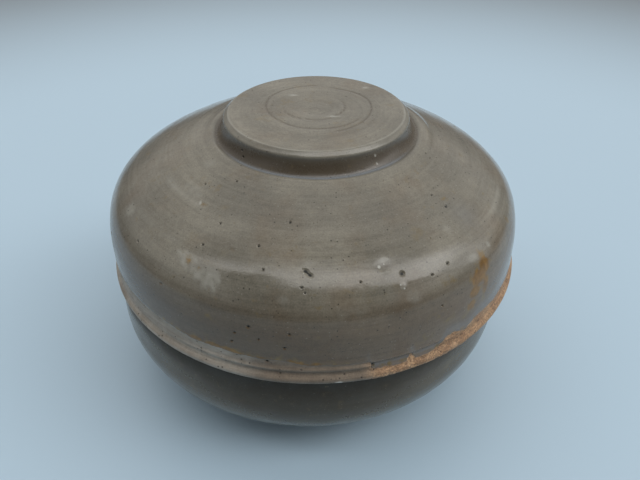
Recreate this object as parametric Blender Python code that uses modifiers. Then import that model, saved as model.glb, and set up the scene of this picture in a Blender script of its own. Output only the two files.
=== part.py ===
"""Go stone bowl: a stoneware bowl and the lid that drops over its mouth.

Both pieces are thrown on a wheel, so each is one closed profile turned about +Z.
The origin is at the centre of the foot, on the surface that the bowl stands on.
The lid sits on the bowl's flat seat and is located by the raised collar inside it.
The disc on the lid is its handle, and its foot when the lid is turned over as a dish.
"""
import math

import bpy

MM = 0.001

# Driving dimensions
GAP = 0.3 * MM                      # between the lid and the seat that it rests on
PARTING_Z = 52.0 * MM               # underside of the lid's rim, above the table
TURNING_STEPS = 64

# Lid, heights from the underside of its rim
RIM_RADIUS = 75.2 * MM              # widest part, on the bare clay band
RIM_BULGE = 1.6 * MM                # half height of that band's rounded lower part
RIM_BULGE_DEPTH = 1.3 * MM
RIM_BULGE_ANGLES = (60, -68)
RIM_GROOVE_HEIGHT = 4.3 * MM        # above the rounded part
RIM_RIDGE_HEIGHT = 5.4 * MM
RIM_RIDGE_DEPTH = 0.6 * MM          # how far the ridge stands out from the wall
RIM_STEP = 0.1 * MM                 # how far the rest of the band does
RIM_BAND_HEIGHT = 7.2 * MM
WALL_RADIUS = 73.7 * MM             # glazed wall above the band
WALL_HEIGHT = 10.0 * MM             # where the wall starts to curve over into the dome
LIP_RADIUS = 36.2 * MM              # soft lip round the foot of the disc
LIP_HEIGHT = 47.1 * MM
LIP_SLOPE = math.radians(24)        # fall of the dome just outside the lip
SHOULDER_FULLNESS = (0.9, 1.0)      # 1 pulls the dome's curve right to its tangents' crossing
DISC_TOP_HEIGHT = 53.2 * MM
DISC_RADIUS = 31.7 * MM
DISC_EDGE_WIDTH = 1.6 * MM          # the worn-down top edge of the disc
DISC_EDGE_DROP = 1.2 * MM
DISC_EDGE_POWER = 1.3               # 1 is a straight bevel and 2 a rounding
DISC_WALL_PULL = (0.1 * MM, 2.5 * MM)       # how the wall leaves that edge: out, down
GROOVE_PULL = (1.2 * MM, 0.6 * MM)          # and how it reaches the groove: in, up
GROOVE_RADIUS = 34.4 * MM           # groove where the disc meets the dome
GROOVE_HEIGHT = 46.3 * MM
LID_MOUTH_RADIUS = 68.0 * MM
LID_MOUTH_CHAMFER = 0.6 * MM
LID_HOLLOW_HEIGHT = 44.8 * MM
LID_HOLLOW_PULLS = (33.0 * MM, 42.0 * MM)   # height on the wall, radius under the crown

# Bowl, heights from the table
BELLY_RADIUS = 72.7 * MM
BELLY_Z = 37.2 * MM
BELLY_DEPTH = 38.7 * MM             # of the ellipse under the belly, cut off by the foot
SEAT_OUTER_RADIUS = 72.0 * MM
SEAT_EDGE = 0.6 * MM
COLLAR_OUTER_RADIUS = 67.0 * MM     # 1 mm inside the lid's mouth
COLLAR_INNER_RADIUS = 63.6 * MM
COLLAR_HEIGHT = 4.8 * MM
NECK_DROP = 1.0 * MM                # from the seat down to the inside of the collar's foot
NECK_PULLS = (5.0 * MM, 4.0 * MM)   # up from the belly, down from the neck
SHOULDER_PULL = (0.5 * MM, 3.0 * MM)        # out and down from the seat's corner
BELLY_PULL = 3.0 * MM
BOWL_HOLLOW_RADIUS = 67.2 * MM
BOWL_HOLLOW_POWER = 2.3             # fuller than an ellipse, which is 2
FLOOR_Z = 8.4 * MM
FOOT_TOP_RADIUS = 42.5 * MM
FOOT_RADIUS = 41.5 * MM
FOOT_INNER_RADIUS = 35.0 * MM
FOOT_EDGE = 0.6 * MM
FOOT_STEP = 1.4 * MM                # from the end of the belly in and down to the foot's wall
FOOT_RECESS = 2.4 * MM

SHARP_ANGLE = math.radians(35)


def superellipse(radius, rise, centre_z, start, end, steps, power=2.0):
    """Points of a quarter superellipse; 0 degrees is at its radius and 90 on the axis."""
    points = []
    for i in range(steps + 1):
        angle = math.radians(start + (end - start) * i / steps)
        across = radius * max(math.cos(angle), 0.0) ** (2 / power)
        up = abs(rise * math.sin(angle)) ** (2 / power) * abs(rise) ** (1 - 2 / power)
        points.append((across, centre_z + math.copysign(up, rise * math.sin(angle))))
    return points


def arc(centre, radius, start, end, steps):
    """Points of a circular arc in the profile's plane, angles in degrees from +X."""
    points = []
    for i in range(steps + 1):
        angle = math.radians(start + (end - start) * i / steps)
        points.append((centre[0] + radius * math.cos(angle), centre[1] + radius * math.sin(angle)))
    return points


def smooth_curve(start, pull_start, pull_end, end, steps):
    """Points of a Bezier curve through start and end."""
    points = []
    for i in range(steps + 1):
        t = i / steps
        weights = ((1 - t) ** 3, 3 * (1 - t) ** 2 * t, 3 * (1 - t) * t ** 2, t ** 3)
        handles = (start, pull_start, pull_end, end)
        points.append(tuple(sum(w * p[k] for w, p in zip(weights, handles)) for k in (0, 1)))
    return points


def between(start, end, fraction):
    return tuple(a + (b - a) * fraction for a, b in zip(start, end))


def rim_band():
    """The bare clay band, from the glaze's edge down to the lid's lower outer corner."""
    ridge = [
        (WALL_RADIUS + RIM_STEP, PARTING_Z + RIM_BAND_HEIGHT),
        (WALL_RADIUS + RIM_RIDGE_DEPTH, PARTING_Z + RIM_RIDGE_HEIGHT),
        (WALL_RADIUS + RIM_STEP, PARTING_Z + RIM_GROOVE_HEIGHT),
    ]
    inset = RIM_RADIUS - RIM_BULGE_DEPTH
    bulge = superellipse(RIM_BULGE_DEPTH, RIM_BULGE, PARTING_Z + RIM_BULGE, *RIM_BULGE_ANGLES, 5)
    return ridge + [(inset + across, z) for across, z in bulge]


def disc_side():
    """The disc's worn top edge and its wall, down to the groove where it meets the dome."""
    edge_z = PARTING_Z + DISC_TOP_HEIGHT - DISC_EDGE_DROP
    inset = DISC_RADIUS - DISC_EDGE_WIDTH
    edge = superellipse(DISC_EDGE_WIDTH, DISC_EDGE_DROP, edge_z, 90, 0, 4, DISC_EDGE_POWER)
    groove = (GROOVE_RADIUS, PARTING_Z + GROOVE_HEIGHT)
    wall_pull = (DISC_RADIUS + DISC_WALL_PULL[0], edge_z - DISC_WALL_PULL[1])
    groove_pull = (groove[0] - GROOVE_PULL[0], groove[1] + GROOVE_PULL[1])
    points = [(inset + across, z) for across, z in edge]
    return points[:-1] + smooth_curve((DISC_RADIUS, edge_z), wall_pull, groove_pull, groove, 4)


def lid_profile():
    """Top of the disc, down the outside, under the rim and up into the hollow."""
    top = PARTING_Z + DISC_TOP_HEIGHT
    lip = (LIP_RADIUS, PARTING_Z + LIP_HEIGHT)
    wall = (WALL_RADIUS, PARTING_Z + WALL_HEIGHT)
    crossing = (wall[0], lip[1] - (wall[0] - lip[0]) * math.tan(LIP_SLOPE))
    lip_pull = between(lip, crossing, SHOULDER_FULLNESS[0])
    wall_pull = between(wall, crossing, SHOULDER_FULLNESS[1])
    inner_wall = (LID_MOUTH_RADIUS, wall[1])
    crown = (0.0, PARTING_Z + LID_HOLLOW_HEIGHT)
    pull_up, pull_out = LID_HOLLOW_PULLS

    points = [(0.0, top)]
    points += disc_side()
    points += smooth_curve(lip, lip_pull, wall_pull, wall, 11)
    points += rim_band()
    points += [(LID_MOUTH_RADIUS + LID_MOUTH_CHAMFER, PARTING_Z)]
    points += [(LID_MOUTH_RADIUS, PARTING_Z + LID_MOUTH_CHAMFER)]
    points += smooth_curve(inner_wall, (inner_wall[0], PARTING_Z + pull_up), (pull_out, crown[1]), crown, 9)
    return points


def bowl_profile():
    """Middle of the inner floor, up to the collar, down the outside and under the foot."""
    seat = PARTING_Z - GAP
    points = superellipse(BOWL_HOLLOW_RADIUS, FLOOR_Z - BELLY_Z, BELLY_Z, 90, 0, 9, BOWL_HOLLOW_POWER)
    neck = (COLLAR_INNER_RADIUS, seat - NECK_DROP)
    hollow_pull = (BOWL_HOLLOW_RADIUS, BELLY_Z + NECK_PULLS[0])
    points += smooth_curve(points.pop(), hollow_pull, (neck[0], neck[1] - NECK_PULLS[1]), neck, 3)
    collar_half = (COLLAR_OUTER_RADIUS - COLLAR_INNER_RADIUS) / 2
    collar_centre = (COLLAR_INNER_RADIUS + collar_half, seat + COLLAR_HEIGHT - collar_half)
    points += arc(collar_centre, collar_half, 180, 0, 6)
    points += [(COLLAR_OUTER_RADIUS, seat), (SEAT_OUTER_RADIUS - SEAT_EDGE, seat)]

    foot_angle = math.degrees(math.acos(FOOT_TOP_RADIUS / BELLY_RADIUS))
    belly = superellipse(BELLY_RADIUS, -BELLY_DEPTH, BELLY_Z, 0, foot_angle, 9)
    corner = (SEAT_OUTER_RADIUS, seat - SEAT_EDGE)
    corner_pull = (SEAT_OUTER_RADIUS + SHOULDER_PULL[0], corner[1] - SHOULDER_PULL[1])
    points += smooth_curve(corner, corner_pull, (BELLY_RADIUS, BELLY_Z + BELLY_PULL), belly.pop(0), 3)
    points += belly

    points += [(FOOT_RADIUS, belly[-1][1] - FOOT_STEP), (FOOT_RADIUS, FOOT_EDGE)]
    points += [(FOOT_RADIUS - FOOT_EDGE, 0.0), (FOOT_INNER_RADIUS + FOOT_EDGE, 0.0)]
    points += [(FOOT_INNER_RADIUS, FOOT_EDGE), (FOOT_INNER_RADIUS - FOOT_EDGE, FOOT_RECESS)]
    points += [(0.0, FOOT_RECESS)]
    return points


def stoneware(name, color, roughness):
    material = bpy.data.materials.new(name)
    material.use_nodes = True
    shader = material.node_tree.nodes["Principled BSDF"]
    shader.inputs["Base Color"].default_value = (*color, 1.0)
    shader.inputs["Roughness"].default_value = roughness
    shader.inputs["Metallic"].default_value = 0.0
    material.diffuse_color = (*color, 1.0)
    return material


def turned(name, profile, material, collection):
    """A profile turned about +Z into one closed solid."""
    mesh = bpy.data.meshes.new(name)
    edges = [(i, i + 1) for i in range(len(profile) - 1)]
    mesh.from_pydata([(x, 0.0, z) for x, z in profile], edges, [])
    mesh.materials.append(material)
    solid = bpy.data.objects.new(name, mesh)
    collection.objects.link(solid)
    screw = solid.modifiers.new("turning", "SCREW")
    screw.axis = "Z"
    screw.angle = math.tau
    screw.steps = TURNING_STEPS
    screw.render_steps = TURNING_STEPS
    screw.use_merge_vertices = True
    screw.merge_threshold = 0.00001
    evaluated = solid.evaluated_get(bpy.context.evaluated_depsgraph_get())
    solid.data = bpy.data.meshes.new_from_object(evaluated)
    solid.modifiers.clear()
    solid.data.name = name
    solid.data.shade_smooth()
    solid.data.set_sharp_from_angle(angle=SHARP_ANGLE)
    return solid


def main():
    for leftover in list(bpy.data.objects):
        bpy.data.objects.remove(leftover, do_unlink=True)
    collection = bpy.data.collections.new("go_stone_bowl")
    bpy.context.scene.collection.children.link(collection)
    turned("bowl", bowl_profile(), stoneware("dark_olive_glaze", (0.060, 0.056, 0.044), 0.3), collection)
    turned("lid", lid_profile(), stoneware("grey_olive_glaze", (0.110, 0.103, 0.080), 0.35), collection)


main()
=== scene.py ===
"""Looks of the lidded go stone bowl: glazed stoneware with a bare clay band at the lid's rim.

Each piece is one closed turned mesh, finer where there is detail and round each flaw in the glaze.
Waves, ridges, chips and the glaze's thickness are moved points of that mesh. Zones such as bare
clay and rust are stored at its points and read by the piece's node material.
Azimuths are degrees round the bowl from its front, -Y, positive towards +X.
"""
import math

import bmesh
import bpy
import numpy as np
from mathutils import Matrix, Vector, noise


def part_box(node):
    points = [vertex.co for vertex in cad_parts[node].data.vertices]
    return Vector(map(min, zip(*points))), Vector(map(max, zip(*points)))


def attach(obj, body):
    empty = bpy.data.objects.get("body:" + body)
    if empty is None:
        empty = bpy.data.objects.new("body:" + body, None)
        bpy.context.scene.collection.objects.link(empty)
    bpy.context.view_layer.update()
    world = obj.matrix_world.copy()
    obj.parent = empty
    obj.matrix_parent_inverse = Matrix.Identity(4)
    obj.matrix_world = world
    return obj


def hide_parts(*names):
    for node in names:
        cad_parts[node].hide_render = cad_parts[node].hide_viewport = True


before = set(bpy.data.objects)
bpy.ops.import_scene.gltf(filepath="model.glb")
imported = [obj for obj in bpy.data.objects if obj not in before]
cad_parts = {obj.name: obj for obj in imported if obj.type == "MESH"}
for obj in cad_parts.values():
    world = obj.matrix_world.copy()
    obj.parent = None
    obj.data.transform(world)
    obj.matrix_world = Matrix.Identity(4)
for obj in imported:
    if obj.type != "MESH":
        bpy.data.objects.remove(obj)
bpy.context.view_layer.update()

MM = 0.001
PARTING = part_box("lid")[0].z / MM  # underside of the lid's rim, mm above the table
LID_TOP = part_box("lid")[1].z / MM - PARTING  # lid heights are mm above the parting
RIM_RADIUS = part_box("lid")[1].x / MM
COLLAR_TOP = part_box("bowl")[1].z / MM
BELLY_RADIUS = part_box("bowl")[1].x / MM

# Lid, mm
WALL_RADIUS = RIM_RADIUS - 1.5
WALL_HEIGHT = 10.0
LIP = (36.2, 47.1)  # soft lip round the foot of the disc: radius, height
LIP_SLOPE = math.radians(24)
SHOULDER_FULLNESS = (0.9, 1.0)
DISC_RADIUS = 31.7
DISC_EDGE = (1.6, 1.2)  # worn top edge of the disc: width, drop
DISC_EDGE_POWER = 1.0  # 1 is a straight bevel and 2 a rounding
DISC_WALL_PULL = (0.1, 2.5)  # how the disc's wall leaves that edge: out, down
GROOVE = (34.4, 46.3)
GROOVE_PULL = (1.2, 0.6)  # how the wall reaches the groove: in, up
MOUTH_RADIUS = 68.0
CROWN_HEIGHT = 44.8  # inside of the lid
CROWN_PULL = (42.0, 33.0)  # radius and height that shape its curve
RINGED = (6.0, 21.0)  # radii between which the disc's top has cut rings
RINGS_BACK = 2.5  # the rings are centred this far behind the disc's middle
RIDGE_BACK = 0.2  # and this far back, the ridge inside its worn edge
BAND_BULGE = 1.6  # half height of the rounded band at the lid's lower edge
BAND_DEPTH = 1.3  # how far the band stands out
BAND_ARC = (60, -68)  # degrees round the band's section
CLAY_WALL = (7.2, 4.3)  # heights of the upright wall above the band
WALL_FLARE = 0.1  # how much wider that is than the wall
CORNER = 0.6  # cut off the corners of the mouth, the seat and the foot

# Bowl, mm above the table
BELLY_HEIGHT = 37.2
BELLY_DEPTH = 38.7
SEAT_RADIUS = 72.0
COLLAR_RADII = (63.6, 67.0)
SEAT_HEIGHT = COLLAR_TOP - 4.8
HOLLOW_RADIUS = 67.2
HOLLOW_POWER = 2.3
FLOOR_HEIGHT = 8.4
FOOT_TOP_RADIUS = 42.5
FOOT_RADII = (35.0, 41.5)
FOOT_RECESS = 2.4

# How far each leans off the axis towards +X, mm
DOME_LEAN = -1.1
DISC_LEAN = 0.5
BOWL_LEAN = -1.8

# Meshes
COLUMNS = 324
FRONT_CROWDING = 0.35  # 0 spaces the columns evenly, more crowds them at the front
OUTLINE_STEP = 0.1  # mm between an outline's points
SOFTENING = 0.30  # mm, how far clay and glaze round every corner
STREAK_LENGTH = 0.05  # how fast streaks change along their length, across being 1

# Camera
CAMERA_DISTANCE = 0.1905  # in front of the bowl's axis
CAMERA_HEIGHT = 0.1913  # above the table
CAMERA_PITCH = math.radians(36.62)
CAMERA_YAW = math.radians(0.62)
CAMERA_ROLL = math.radians(0.40)
CAMERA_LENS = 33.75
CAMERA_SENSOR = 36.0

# Light: strengths by direction. A share is a direction's dot product with an axis, +X, +Y or +Z.
LIGHT_COLOR = (1.0, 0.99, 0.97, 1.0)
ARCH_AXIS = (0.0, 0.8, 0.6)
ARCH_GLOW = 2.95
ARCH_LEAN = 0.25  # how much brighter the arch is towards +X, and dimmer towards -X
ARCH_FOOT = (0.06, 0.26)  # share along ARCH_AXIS where it starts, on the right and the left
ARCH_STEP = (-0.12, -0.25)  # share along +X over which one turns into the other
ARCH_SOFT_FOOT = (-0.01, 0.02)
ARCH_TOP = (0.50, 0.33)  # share along ARCH_AXIS over which it ends above
ARCH_BACK = (0.15, 0.0)  # share along +Y over which it ends behind,
ARCH_TWIST = -0.12  # with this much of +X added
ARCH_LEFT_END = (-0.85, -0.55)  # share along +X over which it dims to ARCH_END_GLOW
ARCH_RIGHT_END = (0.90, 0.76)
ARCH_END_GLOW = (0.2, 0.25)  # what is left of it at the left and right ends
CLOTH = (0.42, 0.70)  # share along ARCH_AXIS over which the cloth overhead begins
CLOTH_GLOW = (0.64, 1.06)  # low down and overhead
CLOTH_RISE = (0.4, 0.95)  # share along +Z over which one turns into the other
CLOTH_LEAN = 0.12  # how much brighter it is towards +X
FRONT_GLOW = 0.03  # below the arch, in front and at the sides
SIDE_GLOW = 0.81
SIDE_SPAN = (0.35, 0.9)  # share along X, either way, over which front turns into side
SIDE_LEAN = 0.22
HORIZON_GLOW = 0.3  # what is left of the cloth and sides at the horizon
HORIZON_RISE = 0.35  # share along +Z where they are whole

# Floor: pale near the bowl, and darker far off, where the bowl's sides would mirror it
FLOOR_SIZE = 6.0  # metres
FLOOR_ROUGHNESS = 0.45
FLOOR_PALE = (0.450, 0.595, 0.716)
FLOOR_FAR = (0.085, 0.085, 0.085)
FLOOR_FADE = (0.30, 0.85)  # metres from the bowl


# ---- outlines

def straight(start, end, count=2):
    return [tuple(a + (b - a) * i / (count - 1) for a, b in zip(start, end)) for i in range(count)]


def arc(centre, radius, start, end, count=16):
    angles = [math.radians(start + (end - start) * i / (count - 1)) for i in range(count)]
    return [(centre[0] + radius * math.cos(a), centre[1] + radius * math.sin(a)) for a in angles]


def bezier(start, pull_start, pull_end, end, count=60):
    points = []
    for i in range(count):
        t = i / (count - 1)
        weights = ((1 - t) ** 3, 3 * (1 - t) ** 2 * t, 3 * (1 - t) * t ** 2, t ** 3)
        handles = (start, pull_start, pull_end, end)
        points.append(tuple(sum(w * p[k] for w, p in zip(weights, handles)) for k in (0, 1)))
    return points


def superellipse(radius, rise, centre_height, start, end, power=2.0, count=80):
    points = []
    for i in range(count):
        angle = math.radians(start + (end - start) * i / (count - 1))
        across = radius * max(math.cos(angle), 0.0) ** (2 / power)
        up = abs(rise) * abs(math.sin(angle)) ** (2 / power)
        points.append((across, centre_height + math.copysign(up, rise * math.sin(angle))))
    return points


def between(start, end, fraction):
    return tuple(a + (b - a) * fraction for a, b in zip(start, end))


def lid_runs():
    """The lid's outline from the middle of the disc to the inside of the crown, as runs of
    (radius, height) points in mm above the parting, each with the distance between its rings."""
    wall = (WALL_RADIUS, WALL_HEIGHT)
    crossing = (wall[0], LIP[1] - (wall[0] - LIP[0]) * math.tan(LIP_SLOPE))
    lip_pull = between(LIP, crossing, SHOULDER_FULLNESS[0])
    wall_pull = between(wall, crossing, SHOULDER_FULLNESS[1])
    clay_wall = [(WALL_RADIUS + WALL_FLARE, height) for height in CLAY_WALL]
    bulge = superellipse(BAND_DEPTH, BAND_BULGE, BAND_BULGE, *BAND_ARC, count=20)
    band = [(RIM_RADIUS - BAND_DEPTH + across, height) for across, height in bulge]
    inner_wall = (MOUTH_RADIUS, WALL_HEIGHT)
    crown = (0.0, CROWN_HEIGHT)
    crown_pulls = ((MOUTH_RADIUS, CROWN_PULL[1]), (CROWN_PULL[0], CROWN_HEIGHT))
    edge_inset = DISC_RADIUS - DISC_EDGE[0]
    edge_height = LID_TOP - DISC_EDGE[1]
    edge = superellipse(*DISC_EDGE, edge_height, 90, 0, DISC_EDGE_POWER, count=16)
    disc_wall = ((DISC_RADIUS, edge_height),
                 (DISC_RADIUS + DISC_WALL_PULL[0], edge_height - DISC_WALL_PULL[1]),
                 (GROOVE[0] - GROOVE_PULL[0], GROOVE[1] + GROOVE_PULL[1]), GROOVE)
    return [
        (straight((0.0, LID_TOP), (RINGED[0], LID_TOP)), 0.8),
        (straight((RINGED[0], LID_TOP), (RINGED[1], LID_TOP)), 0.32),
        (straight((RINGED[1], LID_TOP), (edge_inset - 0.8, LID_TOP)), 0.9),
        ([(edge_inset + across, height) for across, height in edge], 0.22),
        (bezier(*disc_wall), 0.32),
        (bezier(LIP, lip_pull, wall_pull, wall), 0.9),
        (straight(wall, clay_wall[0]), 0.5),
        (straight(*clay_wall), 0.3),
        (band, 0.3),
        (straight((RIM_RADIUS - 0.8, 0.0), (MOUTH_RADIUS + CORNER, 0.0)), 0.9),
        (straight((MOUTH_RADIUS, CORNER), inner_wall), 1.4),
        (bezier(inner_wall, *crown_pulls, crown), 3.2),
    ]


def bowl_runs():
    """The bowl's outline from the middle of its inner floor, over the collar, down the outside
    and under the foot, in mm above the table."""
    hollow = superellipse(HOLLOW_RADIUS, FLOOR_HEIGHT - BELLY_HEIGHT, BELLY_HEIGHT, 90, 0, HOLLOW_POWER)
    neck = (COLLAR_RADII[0], SEAT_HEIGHT - 1.0)
    neck_pulls = ((HOLLOW_RADIUS, BELLY_HEIGHT + 5.0), (neck[0], neck[1] - 4.0))
    half = (COLLAR_RADII[1] - COLLAR_RADII[0]) / 2
    foot_angle = math.degrees(math.acos(FOOT_TOP_RADIUS / BELLY_RADIUS))
    belly = superellipse(BELLY_RADIUS, -BELLY_DEPTH, BELLY_HEIGHT, 0, foot_angle)
    corner = (SEAT_RADIUS, SEAT_HEIGHT - CORNER)
    corner_pulls = ((SEAT_RADIUS + 0.5, corner[1] - 3.0), (BELLY_RADIUS, BELLY_HEIGHT + 3.0))
    foot_in, foot_out = FOOT_RADII
    foot_root = (foot_out, belly[-1][1] - 1.4)
    return [
        (hollow, 1.5),
        (bezier(hollow[-1], *neck_pulls, neck), 0.9),
        (arc((COLLAR_RADII[0] + half, COLLAR_TOP - half), half, 180, 0), 0.5),
        (straight((COLLAR_RADII[1], SEAT_HEIGHT), (SEAT_RADIUS - CORNER, SEAT_HEIGHT)), 0.7),
        (bezier(corner, *corner_pulls, belly[0]), 0.6),
        (belly, 0.9),
        (straight(foot_root, (foot_out, CORNER)), 0.5),
        (straight((foot_out - CORNER, 0.0), (foot_in + CORNER, 0.0)), 0.8),
        (straight((foot_in, CORNER), (foot_in - CORNER, FOOT_RECESS)), 0.5),
        (straight((foot_in - CORNER, FOOT_RECESS), (0.0, FOOT_RECESS)), 1.8),
    ]


class Outline:
    """A softened outline that can be read at any distance along it, in mm."""

    def __init__(self, runs):
        points = np.array([p for run, spacing in runs for p in run])
        spacings = np.array([spacing for run, spacing in runs for p in run])
        walked = np.r_[0.0, np.cumsum(np.hypot(*np.diff(points, axis=0).T))]
        keep = np.r_[True, np.diff(walked) > 1e-6]
        walked, points, spacings = walked[keep], points[keep], spacings[keep]
        along = np.arange(0.0, walked[-1], OUTLINE_STEP)
        self.radius = soften(np.interp(along, walked, points[:, 0]), odd=True)
        self.height = soften(np.interp(along, walked, points[:, 1]), odd=False)
        self.spacing = np.interp(along, walked, spacings)
        self.along = np.r_[0.0, np.cumsum(np.hypot(np.diff(self.radius), np.diff(self.height)))]
        self.length = self.along[-1]

    def at(self, along):
        return np.interp(along, self.along, self.radius), np.interp(along, self.along, self.height)

    def normal_at(self, along):
        """The outward normal's two parts, across and up."""
        across = np.interp(along, self.along, np.gradient(self.radius, self.along))
        up = np.interp(along, self.along, np.gradient(self.height, self.along))
        size = np.hypot(across, up)
        return -up / size, across / size

    def rings(self):
        """Distances along the outline at which the rings go, ends left out."""
        share = np.r_[0.0, np.cumsum(np.diff(self.along) / self.spacing[1:])]
        count = int(share[-1])
        return np.interp(np.linspace(0.0, share[-1], count + 1)[1:-1], share, self.along)


def soften(values, odd):
    """Rounds corners with a bell-shaped average. Past an end on the axis a radius goes on
    negative (odd) and a height goes back the way it came."""
    reach = int(4 * SOFTENING / OUTLINE_STEP)
    weights = np.exp(-0.5 * (np.arange(-reach, reach + 1) * OUTLINE_STEP / SOFTENING) ** 2)
    sign = -1.0 if odd else 1.0
    ends = (sign * values[reach:0:-1], values, sign * values[-2:-reach - 2:-1])
    return np.convolve(np.concatenate(ends), weights / weights.sum(), mode="valid")


# ---- turned meshes

class Turned:
    """A turned piece: its mesh, and for each point the azimuth and the distance along the outline."""

    def __init__(self, name, runs, refine_near):
        self.outline = Outline(runs)
        self.mesh = bpy.data.meshes.new(name)
        self.object = bpy.data.objects.new(name, self.mesh)
        bpy.context.scene.collection.objects.link(self.object)
        self.build_grid()
        self.refine(refine_near)
        self.read_points()

    def build_grid(self):
        rings = self.outline.rings()
        turn = np.linspace(-math.pi, math.pi, COLUMNS, endpoint=False)
        azimuth = turn - FRONT_CROWDING * np.sin(turn)
        radius, height = self.outline.at(rings)
        x = np.outer(radius, np.sin(azimuth)).ravel()
        y = np.outer(radius, -np.cos(azimuth)).ravel()
        z = np.repeat(height, COLUMNS)
        start, end = self.outline.height[0], self.outline.height[-1]
        points = np.vstack([(0, 0, start), np.column_stack([x, y, z]), (0, 0, end)])
        along = np.r_[0.0, np.repeat(rings, COLUMNS), self.outline.length]
        index = 1 + np.arange(len(rings) * COLUMNS).reshape(len(rings), COLUMNS)
        right = np.roll(index, -1, axis=1)
        quads = np.stack([index[:-1], index[1:], right[1:], right[:-1]], -1).reshape(-1, 4).tolist()
        first = [(0, a, b) for a, b in zip(index[0].tolist(), right[0].tolist())]
        last_point = len(points) - 1
        last = [(b, a, last_point) for a, b in zip(index[-1].tolist(), right[-1].tolist())]
        self.mesh.from_pydata(points.tolist(), [], first + quads + last)
        self.store(along=along)

    def spot(self, azimuth, height):
        """Where a mark at that azimuth and height is on the outside of the piece, as (x, y, z) in mm."""
        along = self.along_at(height)
        radius, height = self.outline.at(along)
        turn = math.radians(azimuth)
        return Vector((radius * math.sin(turn), -radius * math.cos(turn), height))

    def along_at(self, height):
        """Distance along the outline at which its outside passes that height."""
        outline = self.outline
        low, high = outside_of(outline)
        heights = outline.height[low:high]
        return np.interp(-height, -heights, outline.along[low:high])

    def refine(self, refine_near):
        """Cuts each face near a mark into nine, twice where the mark asks for it."""
        for level in (1, 2):
            bm = bmesh.new()
            bm.from_mesh(self.mesh)
            chosen = set()
            centres = [(f, f.calc_center_median()) for f in bm.faces]
            for azimuth, height, reach, levels in refine_near:
                if levels >= level:
                    spot = self.spot(azimuth, height)
                    chosen.update(f for f, c in centres if (c - spot).length_squared < reach * reach)
            edges = {e for f in chosen for e in f.edges}
            if edges:
                bmesh.ops.subdivide_edges(bm, edges=sorted(edges, key=lambda e: e.index),
                                          cuts=2 if level == 1 else 1, use_grid_fill=True)
            bm.to_mesh(self.mesh)
            bm.free()

    def read_points(self):
        count = len(self.mesh.vertices)
        points = np.zeros(count * 3, np.float32)
        self.mesh.vertices.foreach_get("co", points)
        points = points.reshape(-1, 3).astype(float)
        self.along = np.zeros(count, np.float32)
        self.mesh.attributes["along"].data.foreach_get("value", self.along)
        self.along = self.along.astype(float)
        self.azimuth = np.degrees(np.arctan2(points[:, 0], -points[:, 1]))
        self.radius, self.height = self.outline.at(self.along)
        self.points = np.column_stack([
            self.radius * np.sin(np.radians(self.azimuth)),
            -self.radius * np.cos(np.radians(self.azimuth)),
            self.height,
        ])
        low, high = outside_of(self.outline)
        self.outside = (self.along >= self.outline.along[low]) & (self.along <= self.outline.along[high - 1])

    def noise(self, size, seed):
        """Smooth noise, about -1 to 1, with features of that size in mm."""
        shift = Vector((seed * 17.3, seed * -9.1, seed * 5.7))
        return np.array([noise.noise(Vector(p) + shift) for p in (self.points / size).tolist()])

    def store(self, **zones):
        for name, values in zones.items():
            zone = self.mesh.attributes.new(name, "FLOAT", "POINT")
            zone.data.foreach_set("value", values.astype(np.float32))

    def place(self, relief, sideways, lift):
        """Moves every point out along its normal by relief, then sideways in X, and up by lift, in mm."""
        across, up = self.outline.normal_at(self.along)
        radius = self.radius + across * relief
        height = self.height + up * relief + lift
        turn = np.radians(self.azimuth)
        points = np.column_stack([radius * np.sin(turn) + sideways, -radius * np.cos(turn), height]) * MM
        self.mesh.vertices.foreach_set("co", points.astype(np.float32).ravel())
        self.mesh.attributes.remove(self.mesh.attributes["along"])
        self.mesh.shade_smooth()
        self.mesh.update()


def outside_of(outline):
    """First and last point of an outline's stretch down the outside: from its first point at the very
    top to its first point at the very bottom."""
    height = outline.height
    return int(np.argmax(height > height.max() - 0.01)), int(np.argmax(height < height.min() + 0.01))


def smooth(low, high, values):
    """0 below low, 1 above high, smooth in between; the other way round if low is above high."""
    t = np.clip((values - low) / (high - low), 0.0, 1.0)
    return t * t * (3 - 2 * t)


def bell(distance, width):
    return np.exp(-0.5 * (distance / width) ** 2)


# ---- the lid's surface

# Height in mm of the glaze's lower edge round the lid, by azimuth.
GLAZE_EDGE = [
    (-180, 8.5), (-120, 9.5), (-60, 10.4), (-38, 10.2), (-29, 9.0), (-22, 9.3), (-14, 8.8), (-7, 8.9),
    (-1, 7.5), (4, 7.3), (12.8, 7.4), (13.2, 4.2), (18, 3.8), (22, 3.9), (23, 6.2), (24.2, 3.9), (28, 4.0),
    (31, 4.4), (33, 7.0), (35, 7.4), (39.5, 5.7), (45, 8.0), (52, 7.0), (60, 7.6), (90, 8.2), (130, 7.6),
    (180, 8.5),
]

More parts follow.
